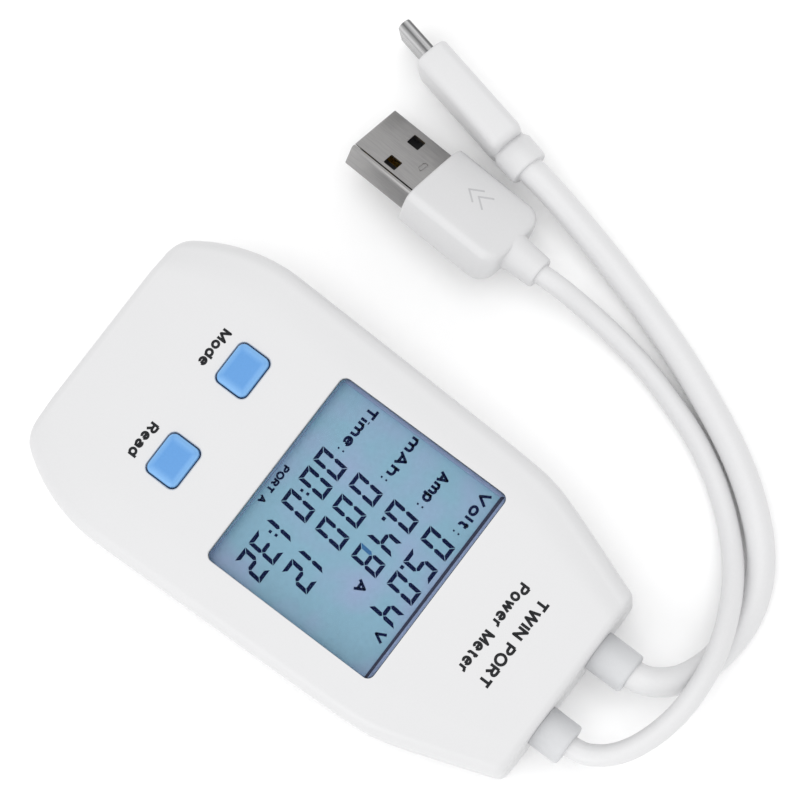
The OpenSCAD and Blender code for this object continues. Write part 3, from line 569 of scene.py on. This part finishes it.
# A plain sans in single strokes: each letter's width, then its lines, where a capital is one unit tall.
stem, round_o = [(0, 0), (0, 1)], bow(0.24, 0.35, 0.24, 0.35, 0, 360, 24)
letters = {
    "A": (0.68, [[(0, 0), (0.34, 1), (0.68, 0)], [(0.13, 0.33), (0.55, 0.33)]]),
    "I": (0.0, [stem]),
    "M": (0.72, [[(0, 0), (0, 1), (0.36, 0.1), (0.72, 1), (0.72, 0)]]),
    "N": (0.58, [[(0, 0), (0, 1), (0.58, 0), (0.58, 1)]]),
    "O": (0.70, [bow(0.35, 0.5, 0.35, 0.5, 0, 360, 28)]),
    "P": (0.52, [stem, [(0, 1)] + bow(0.27, 0.74, 0.25, 0.26, 90, -90) + [(0, 0.48)]]),
    "R": (0.56, [stem, [(0, 1)] + bow(0.28, 0.75, 0.25, 0.25, 90, -90) + [(0, 0.5)], [(0.28, 0.5), (0.56, 0)]]),
    "T": (0.60, [[(0, 1), (0.60, 1)], [(0.30, 1), (0.30, 0)]]),
    "V": (0.66, [[(0, 1), (0.33, 0), (0.66, 1)]]),
    "W": (0.94, [[(0, 1), (0.23, 0), (0.47, 1), (0.71, 0), (0.94, 1)]]),
    "a": (0.46, [bow(0.23, 0.47, 0.21, 0.23, 165, 0) + [(0.44, 0)],
                 [(0.44, 0.42)] + bow(0.18, 0.20, 0.18, 0.20, 90, 290) + [(0.44, 0.15)]]),
    "d": (0.48, [round_o, [(0.48, 0), (0.48, 1)]]),
    "e": (0.48, [[(0.02, 0.37), (0.48, 0.37)], bow(0.24, 0.35, 0.24, 0.35, 4, 318, 20)]),
    "h": (0.44, [stem, [(0, 0.42)] + bow(0.22, 0.47, 0.22, 0.23, 180, 0) + [(0.44, 0)]]),
    "i": (0.0, [[(0, 0), (0, 0.70)], [(0, 0.88), (0, 1)]]),
    "l": (0.0, [stem]),
    "m": (0.76, [[(0, 0), (0, 0.70)], [(0, 0.42)] + bow(0.19, 0.46, 0.19, 0.24, 180, 0) + [(0.38, 0)],
                 [(0.38, 0.42)] + bow(0.57, 0.46, 0.19, 0.24, 180, 0) + [(0.76, 0)]]),
    "o": (0.48, [round_o]),
    "p": (0.48, [[(0, -0.28), (0, 0.70)], round_o]),
    "r": (0.26, [[(0, 0), (0, 0.70)], [(0, 0.38)] + bow(0.25, 0.40, 0.25, 0.29, 175, 80, 6)]),
    "t": (0.30, [[(0.12, 0.92), (0.12, 0.18)] + bow(0.28, 0.17, 0.16, 0.17, 180, 280, 6),
                 [(0, 0.68), (0.31, 0.68)]]),
    "w": (0.72, [[(0, 0.70), (0.18, 0), (0.36, 0.66), (0.54, 0), (0.72, 0.70)]]),
}


def lettering(words, x, y, width, height, weight):
    """Words about (x, y) in flat strokes of an even weight, fitted to a width and to a capital's height."""
    lines, pen = [], 0.0
    for letter in words:
        wide, shapes = letters.get(letter, (0.2, []))
        lines += [[(pen + px, py) for px, py in shape] for shape in shapes]
        pen += wide + 0.27
    across, up, span = (width - weight) / (pen - 0.27), height - weight, pen - 0.27
    parts = []
    for line in lines:
        line = [(x + (px - span / 2) * across, y + (py - 0.5) * up) for px, py in line]
        start = 0
        for i in range(1, len(line) - 1):
            bend = (Vector(line[i]) - Vector(line[i - 1])).angle(Vector(line[i + 1]) - Vector(line[i]))
            if bend > 1.3:
                parts.append(ribbon(line[start:i + 1], weight, -0.01, 0.012))
                parts.append(plates(weight, weight, weight / 2, *line[i], [(-0.01, 0), (0.012, 0)]))
                start = i
        parts.append(ribbon(line[start:], weight, -0.01, 0.012))
    return joined(parts)


def extruded(polygons, low, high):
    """Flat polygons as thin solids between two heights."""
    return joined([skin([[(x, y, z) for x, y in ring] for z in (low, high)]) for ring in polygons])


# Seven-segment figures lean a little. Each is drawn in a cell by which of its bars a to g are dark.
cell_w, cell_h, bar, lean, mitre = 2.72, 5.3, 0.66, 0.09, 0.07
figures = {"0": "abcdef", "1": "bc", "2": "abged", "3": "abgcd", "4": "fgbc", "5": "afgcd", "8": "abcdefg"}


def bars(figure, x, y):
    """The dark bars of one figure whose cell's lower left corner is (x, y)."""
    w, h, t, g, m = cell_w, cell_h, bar, mitre, cell_h / 2
    shapes = {
        "a": [(g, h), (w - g, h), (w - t - g, h - t), (t + g, h - t)],
        "d": [(g, 0), (t + g, t), (w - t - g, t), (w - g, 0)],
        "g": [(t / 2 + g, m), (t + g, m + t / 2), (w - t - g, m + t / 2), (w - t / 2 - g, m),
              (w - t - g, m - t / 2), (t + g, m - t / 2)],
        "f": [(0, h - g), (t, h - t - g), (t, m + t / 2 + g), (t / 2, m + g), (0, m + t / 2 + g)],
        "b": [(w, h - g), (w, m + t / 2 + g), (w - t / 2, m + g), (w - t, m + t / 2 + g), (w - t, h - t - g)],
        "e": [(0, g), (0, m - t / 2 - g), (t / 2, m - g), (t, m - t / 2 - g), (t, t + g)],
        "c": [(w, g), (w - t, t + g), (w - t, m - t / 2 - g), (w - t / 2, m - g), (w, m - t / 2 - g)],
    }
    return [[(x + px + lean * py, y + py) for px, py in shapes[k]] for k in figures[figure]]


def spot(x, y, size):
    """A square dot about (x, y)."""
    return [(x - size / 2, y - size / 2), (x + size / 2, y - size / 2), (x + size / 2, y + size / 2),
            (x - size / 2, y + size / 2)]


# Reading, one row for each quantity: its name and colon, then figures at (left, bottom) of their cells.
reading_x, reading_y = -17.79 - 0.30, 21.15 - 0.52
rows = [(14.48, "05.04", (10.84, 15.26, 19.48, 23.91)), (7.41, "0.48", (10.84, 15.26, 19.40)),
        (0.34, "00012", (10.84, 15.06, 19.40, 23.70, 27.85)),
        (-6.62, "000132", (10.92, 14.66, 19.16, 22.78, 27.41, 30.87))]
row_height, row_drop = 14.48, 6.63
dark, fading = [], []
for bottom, digits, lefts in rows:
    for digit, left in zip(digits.replace(".", ""), lefts):
        dark += bars(digit, reading_x + left, reading_y + bottom - row_height - row_drop)
        if digit == "8":
            fading.append(dark.pop(figures[digit].index("e") - len(figures[digit])))
for x, y, size in ((18.69, -6.2, 0.6), (14.35, -13.1, 0.6), (18.4, -25.0, 0.48), (18.5, -26.1, 0.48),
                   (26.5, -25.0, 0.48), (26.6, -26.1, 0.48)):
    dark.append(spot(reading_x + x, reading_y + y, size))
for x, y in ((9.32, -2.75), (9.32, -9.8), (9.32, -16.9), (9.72, -25.1)):
    dark += [spot(reading_x + x, reading_y + y + dy, 0.3) for dy in (0.45, -0.45)]

# Words on the display: each with its place from the reading's corner, its width, capital height and weight.
words = [("Volt", 4.85, -2.40, 6.9, 2.0, 0.46), ("Amp", 5.59, -9.50, 5.6, 2.0, 0.46),
         ("mAh", 4.79, -16.5, 7.2, 2.0, 0.46), ("Time", 5.05, -24.8, 7.6, 2.0, 0.46),
         ("V", 29.3, -2.40, 2.0, 1.95, 0.46), ("A", 24.95, -9.5, 2.15, 1.95, 0.46),
         ("PORT A", 20.4, -30.25, 7.2, 1.3, 0.34)]
# Dark liquid crystal is a flat blue-black with no gloss of its own.
segment_ink = material("dark_liquid_crystal", "#020824", "#081240", 0.5, 0.6, **{"Specular IOR Level": 0.05})
parts = [extruded(dark, -0.01, 0.012)]
parts += [lettering(word, reading_x + x, reading_y + y, *size) for word, x, y, *size in words]
points, faces = joined(parts)
piece("lcd_reading", [(x, y, z + film_z) for x, y, z in points], faces, segment_ink, None)

# One bar of the 8 is only half dark, as it is while a figure changes.
half_dark = material("half_dark_liquid_crystal", "#335f8c", "#3b6996", 0.5, 0.6, **{"Specular IOR Level": 0.05})
piece("lcd_fading_bar", *extruded(fading, film_z - 0.01, film_z + 0.012), half_dark, None)

# The foam frame shows through the window along two edges, with a dark navy line beside it along one.
gasket_low, gasket_top = (v.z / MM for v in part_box("display_gasket"))
frame_outer = plate_ring(window_w + 1.8, window_l + 1.8, 1.5, 0, window_y)
frame_inner = plate_ring(window_w - 0.6, window_l - 1.4, 0.4, 0.25, window_y - 0.65)
rings = [[(x, y, z) for x, y in ring] for ring, z in ((frame_outer, gasket_low), (frame_outer, gasket_top),
                                                      (frame_inner, gasket_top), (frame_inner, gasket_low),
                                                      (frame_outer, gasket_low))]
piece("display_gasket", *skin(rings, close=False), closed_foam, "foam", ["display_gasket"])
edge_y = window_y + window_l / 2
line = [[(-window_w / 2 + 0.1, edge_y - 0.8), (-window_w / 2 + 0.5, edge_y - 1.36),
         (window_w / 2 - 0.1, edge_y - 1.36), (window_w / 2 + 0.3, edge_y - 0.9)]]
piece("window_edge_line", *extruded(line, gasket_top - 0.02, gasket_top + 0.01), navy_edge_line, None)

# Cast acrylic: all but invisible from above, with a slight blue-grey cast and polished edges that flash.
clear_window = material("cast_clear_window", "#3c4f5e", "#465a6a", 4.0, 0.06, spread=0.02, IOR=1.49,
                        Alpha=0.03, **{"Specular IOR Level": 0.06})
window_edge = material("polished_window_edge", "#b9c6d2", "#c6d2dc", 3.0, 0.08, spread=0.02, Metallic=1.0)
seat_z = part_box("display_window")[0].z / MM
window_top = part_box("display_window")[1].z / MM
window = piece("display_window", *plates(window_w - 0.2, window_l - 0.2, window_r, 0, window_y,
                                         [(seat_z, 1.2), (seat_z + 0.5, 1.2), (seat_z + 0.5, 0),
                                          (window_top - 0.22, 0), (window_top - 0.06, -0.06),
                                          (window_top, -0.22)]),
               clear_window, "clear_window", ["display_window"])
window.data.materials.append(window_edge)
for face in window.data.polygons:
    if abs(face.normal.z) < 0.3:
        face.material_index = 1


# ---- Buttons and their switches ----
# Two light blue caps of satin plastic, each moulded with a flange that holds it under the cover and a stem
# that meets the tactile switch on the board. A cap's top is slightly crowned, with soft edges.
# Moulded ABS dyed sky blue, a deeper blue in the middle. Its paler rim is painted light: a painted highlight where
# the rounded edges catch the light and the light comes through.
blue_cap = bpy.data.materials.new("moulded_blue_cap")
blue_cap.use_nodes = True
tree = blue_cap.node_tree
tree.nodes.clear()
place = add(tree, "ShaderNodeTexCoord").outputs["Object"]
grain = add(tree, "ShaderNodeTexNoise", {"Vector": place, "Scale": 1 / (0.3 * MM), "Detail": 3.0})
painted_rim_light = add(tree, "ShaderNodeAttribute", attribute_name="painted_rim_light")
tint = add(tree, "ShaderNodeMix", {"Factor": painted_rim_light.outputs["Fac"]}, data_type="RGBA")
tint.inputs[6].default_value = linear("#518ecb")
tint.inputs[7].default_value = linear("#77aadc")
dots = add(tree, "ShaderNodeMapRange", {"Value": grain.outputs["Fac"], "To Min": 0.94, "To Max": 1.06})
fine = add(tree, "ShaderNodeMix", {0: 1.0, 6: tint.outputs[2], 7: dots.outputs[0]},
           data_type="RGBA", blend_type="MULTIPLY")
relief = add(tree, "ShaderNodeBump", {"Height": grain.outputs["Fac"], "Strength": 0.5, "Distance": 0.006 * MM})
surface = add(tree, "ShaderNodeBsdfPrincipled", {"Base Color": fine.outputs[2], "Roughness": 0.42,
                                                 "Normal": relief.outputs["Normal"]})
add(tree, "ShaderNodeOutputMaterial", {"Surface": surface.outputs["BSDF"]})

button_x, button_y, button_w, button_l, button_gap = 8.9, -24.0, 7.4, 5.8, 0.2
stem_z, flange_z, cap_z = 14.1, 15.04, 15.72
cap_r, cap_crown = 0.75, 0.10
for key, side in (("mode", -1), ("read", 1)):
    middle = (side * button_x, button_y)
    top = (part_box(key + "_button")[1] / MM).z
    stem_ring = plate_ring(3.2, 3.2, 1.6, *middle)
    flange = plate_ring(button_w + 1.8, button_l + 1.8, 1.2, *middle)
    rings = [[(x, y, z) for x, y in stem_ring] for z in (stem_z, flange_z)]
    rings += [[(x, y, z) for x, y in flange] for z in (flange_z, cap_z)]
    edges = [(cap_z, 0.0), (top - cap_r, 0.0)] + [(top - cap_r + cap_r * math.sin(a), cap_r * (1 - math.cos(a)))
                                                  for a in [math.pi / 2 * i / 8 for i in range(1, 9)]]
    edges += [(top, cap_r + k) for k in (0.35, 0.8, 1.4, 2.0)]
    for z, g in edges:
        ring = plate_ring(button_w - 2 * g, button_l - 2 * g, min(1.15 - 0.3 * g, 0.4 * (button_l - 2 * g)),
                          *middle)
        fall = cap_crown if z > top - 0.3 else 0.0
        rings.append([(x, y, z - fall * max(abs(x - middle[0]) / button_w,
                                            abs(y - button_y) / button_l) ** 2 * 4) for x, y in ring])
    cap = piece(key + "_button", *skin(rings), blue_cap, "button_plastic", [key + "_button"],
                body=key + "_key")
    # The rim's paler blue is painted light, set by how far each point of the top lies out towards its edge.
    painted_rim_light_of = cap.data.attributes.new("painted_rim_light", "FLOAT", "POINT")
    for i, v in enumerate(cap.data.vertices):
        out = max(abs(v.co.x / MM - middle[0]) / (button_w / 2), abs(v.co.y / MM - button_y) / (button_l / 2))
        painted_rim_light_of.data[i].value = min(1.0, max(0.0, (out - 0.62) / 0.3)) if v.co.z / MM > 17 else 0.0
finish_nodes(black_nylon, "mode_switch_plunger", "read_switch_plunger", "mode_switch_body", "read_switch_body")


# ---- Case ----
# Two covers of white ABS, injection moulded with a fine satin texture. Both follow one outline: rounded
# shoulders at the far end, straight sides, and two long tapers towards the cables.
# ABS from a spark-eroded mould: a clean satin white with a broad soft highlight. Its 0.05 mm texture is drawn
# coarser, so that it just shows.
satin_abs = material("moulded_satin_abs", "#cccccd", "#d3d3d4", 0.3, 0.40, bump=0.006, IOR=1.53)
case_w, case_l, case_t = 52.7, 92.0, 17.8
wall = 1.8
seam_z, seam_gap = 9.0, 0.15
y_far, y_near = -case_l / 2, case_l / 2
shoulder_y = y_far + 19
edge_r, end_r, crown = 2.6, 1.2, 0.6


def soft_min(a, b, k):
    """The smaller of two values, with a soft change from one to the other."""
    return (a + b - math.sqrt((a - b) ** 2 + k * k)) / 2


def half_width(y):
    """Half the case's width at y."""
    if y < shoulder_y:
        w = case_w / 2 - 30 + math.sqrt(900 - (y - shoulder_y) ** 2)
    else:
        w = soft_min(case_w / 2 - 0.03 * (y - shoulder_y), 17.35 + 0.364 * (y_near - y), 1.2)
    return w - pull_in(y - y_far, 2.0) - pull_in(y_near - y, 1.0)


def front_z(y):
    """Height of the front face along the middle of the case."""
    far = 0.9 * ((-12 - y) / 34) ** 2 if y < -12 else 0.0
    return soft_min(case_t, case_t - 0.105 * (y - 25), 0.5) - far


def case_ring(y, inset):
    """A closed cross-section of the case at y: long edges of radius 2.6 and a slightly crowned front."""
    end = pull_in(min(y - y_far, y_near - y), end_r)
    w, top, low = half_width(y) - inset, front_z(y) - end - inset, end + inset
    r = max(edge_r - inset, 0.6)
    flat = 0.66 * w
    half = [(w - r + r * math.sin(a), low + r - r * math.cos(a)) for a in arc]
    half += [(w - r + r * math.cos(a), top - crown - r + r * math.sin(a)) for a in arc]
    for k in range(1, 9):
        t = 1 - k / 8
        half.append((flat + (w - r - flat) * t, top - crown * t * t * (1.6 - 0.6 * t)))
    half += [(flat * k / 4, top) for k in (3, 2, 1)]
    full = half + [(0, top)] + [(-x, z) for x, z in reversed(half)]
    y_in = y * (case_l / 2 - inset) / (case_l / 2)
    return [(x, y_in, z) for x, z in full]


arc = [math.pi / 2 * i / 8 for i in range(9)]
end_steps = [end_r * (1 - math.cos(math.pi / 2 * i / 7)) for i in range(8)]
stations = sorted(set(
    [round(y_far + d, 4) for d in end_steps + [1.4, 1.7, 2.0, 3, 4.2] + [5.5 + 1.5 * k for k in range(10)]]
    + [round(y_far + 20 + 2 * k, 4) for k in range(24)]
    + [round(y_near - d, 4) for d in end_steps + [2, 4, 7, 10, 13, 15, 16.5]
       + [17.5 + 0.35 * k for k in range(18)] + [24.3]]))


def outline(inset, z):
    """The case's outline, pulled in by an inset, as a ring at one height."""
    k = (case_l / 2 - inset) / (case_l / 2)
    right = [(half_width(y) - inset, y * k, z) for y in stations]
    return right + [(-x, y, z) for x, y, z in reversed(right)]


case_outer = skin([case_ring(y, 0) for y in stations])
case_inner = skin([case_ring(y, wall) for y in stations])
seam_groove = skin([outline(-0.6, seam_z - 0.5), outline(-0.6, seam_z + 0.5),
                    outline(0.16, seam_z + seam_gap / 2), outline(0.16, seam_z - seam_gap / 2),
                    outline(-0.6, seam_z - 0.5)], close=False)

# The four screws draw the covers together through these posts. Cuts that clear a whole side reach well past it.
bosses = [(s * x, y) for s in (-1, 1) for x, y in ((21, -28), (16.8, 31))]
all_across, all_along = (-40, 40), (-60, 60)
neck_hole_r = 3.13


def upright(ring_xz, y0, y1):
    """A tunnel along +Y whose cross-section is given as x and z."""
    return skin([[(x, y, z) for x, z in ring_xz] for y in (y0, y1)])


def end_openings():
    """The holes in both ends that the covers share: two socket mouths and two cable necks."""
    holes = [plate_ring(socket_a[2] + 0.3, socket_a[3] + 0.3, 0.5, socket_a[0], socket_a[1]),
             plate_ring(socket_c[2] + 0.3, socket_c[3] + 0.3, 1.75, socket_c[0], socket_c[1])]
    cuts = [("DIFFERENCE", *upright(ring, y_far - 1, y_far + wall + 1)) for ring in holes]
    flares = [(plate_ring(socket_a[2] + 0.3 + 2 * g, socket_a[3] + 0.3 + 2 * g, 0.5 + g, *socket_a[:2]),
               plate_ring(socket_c[2] + 0.3 + 2 * g, socket_c[3] + 0.3 + 2 * g, 1.75 + g, *socket_c[:2]))
              for g in (0.4, 0.0)]
    for k in range(2):
        cuts.append(("DIFFERENCE", *skin([[(x, y_far - 0.1, z) for x, z in flares[0][k]],
                                          [(x, y_far + 0.3, z) for x, z in flares[1][k]]])))
    for x in (cable_a_x, cable_c_x):
        ring = [(x + neck_hole_r * math.cos(a), exit_z + neck_hole_r * math.sin(a))
                for a in [2 * math.pi * i / 40 for i in range(40)]]
        cuts.append(("DIFFERENCE", *upright(ring, y_near - wall - 1, y_near + 1)))
    return cuts


back_cover = piece("back_cover", *case_outer, satin_abs, "white_abs", ["back_cover"])
carve(back_cover, [("DIFFERENCE", *case_inner),
                   ("DIFFERENCE", *block(*all_across, *all_along, seam_z - seam_gap / 2, 30)),
                   ("DIFFERENCE", *seam_groove)])
lip = skin([outline(0.9, seam_z - 1), outline(0.9, seam_z + 1.0), outline(1.75, seam_z + 1.0),
            outline(1.75, seam_z - 1), outline(0.9, seam_z - 1)], close=False)
tools = [("UNION", *lip)]
for x, y in bosses:
    post = turned([(0.05, 1.5), (3.0, 1.5), (3.0, 8.8), (0.05, 8.8)], 40)
    tools.append(("UNION", [(x + p[0], y + p[2], p[1]) for p in post[0]], post[1]))
    well = turned([(0.05, -1), (2.35, -1), (2.35, 0), (2.1, 0.25), (2.1, 2.8), (1.05, 2.8), (1.05, 12),
                   (0.05, 12)], 40)
    tools.append(("DIFFERENCE", [(x + p[0], y + p[2], p[1]) for p in well[0]], well[1]))
carve(back_cover, tools + end_openings())
smooth(back_cover, 30)

front_cover = piece("front_cover", *case_outer, satin_abs, "white_abs", ["front_cover"])
window_hole = plates(window_w, window_l, window_r, 0, window_y,
                     [(12, 0), (case_t - 0.25, 0), (case_t - 0.1, 0.04), (case_t, 0.16), (case_t + 1, 1.1)])
tools = [("DIFFERENCE", *case_inner),
         ("DIFFERENCE", *block(*all_across, *all_along, -5, seam_z + seam_gap / 2)),
         ("DIFFERENCE", *seam_groove), ("DIFFERENCE", *window_hole)]
button_rim = front_z(button_y)
for s in (-1, 1):
    tools.append(("DIFFERENCE", *plates(button_w + 2 * button_gap, button_l + 2 * button_gap, 1.2,
                                        s * button_x, button_y,
                                        [(12, 0), (button_rim - 0.35, 0), (button_rim - 0.12, 0.06),
                                         (button_rim + 0.02, 0.22), (button_rim + 1, 1.2)])))
carve(front_cover, tools + end_openings())
smooth(front_cover, 30)


# ---- Printed words ----
# Pad-printed dark grey ink, a hair above the front face: what the meter is, and what each button does.
# The ink is thin and matt, so it reads as flat charcoal.
print_ink = material("pad_printed_ink", "#18191b", "#232427", 0.35, 0.6, bump=0.003,
                     **{"Specular IOR Level": 0.15})
printed = []
for words, x, y, *size in (
    ("TWIN PORT", -0.25, 35.5, 16.4, 2.1, 0.47), ("Power Meter", -0.26, 31.7, 16.6, 2.1, 0.45),
    ("Mode", -9.1, -29.8, 6.9, 1.9, 0.44), ("Read", 9.1, -29.8, 6.3, 1.9, 0.44),
):
    points, faces = lettering(words, x, y, *size)
    printed.append(([(px, py, front_z(py) + pz) for px, py, pz in points], faces))
piece("printed_words", *joined(printed), print_ink, None)


# ---- Stage and light ----
# A plain pale table, and soft light from a large panel overhead, a weaker one at one side, and the white round it.
def panel(name, place, size, power):
    """A square soft light that faces the object."""
    light = bpy.data.lights.new(name, "AREA")
    light.energy = power
    light.size = size
    made = bpy.data.objects.new(name, light)
    made.location = place
    made.rotation_euler = (-Vector(place)).to_track_quat("-Z", "Y").to_euler()
    bpy.context.scene.collection.objects.link(made)


# Matt white paint takes a soft shadow and gives no reflection.
table_paint = material("matt_painted_table", "#fafafa", "#fdfdfd", 3.0, 0.8)
table_mesh = bpy.data.meshes.new("table")
table_mesh.from_pydata([(x, y, -1e-5) for x, y in ((-3, -3), (3, -3), (3, 3), (-3, 3))], [], [(0, 1, 2, 3)])
table_mesh.materials.append(table_paint)
table = bpy.data.objects.new("table", table_mesh)
bpy.context.scene.collection.objects.link(table)

world = bpy.data.worlds.new("studio")
world.use_nodes = True
world.node_tree.nodes["Background"].inputs["Color"].default_value = linear("#ffffff")
world.node_tree.nodes["Background"].inputs["Strength"].default_value = 0.92
bpy.context.scene.world = world
panel("top_panel", (-0.05, 0.0, 1.6), 1.5, 8.0)
panel("side_panel", (0.85, 0.1, 0.5), 0.6, 2.2)
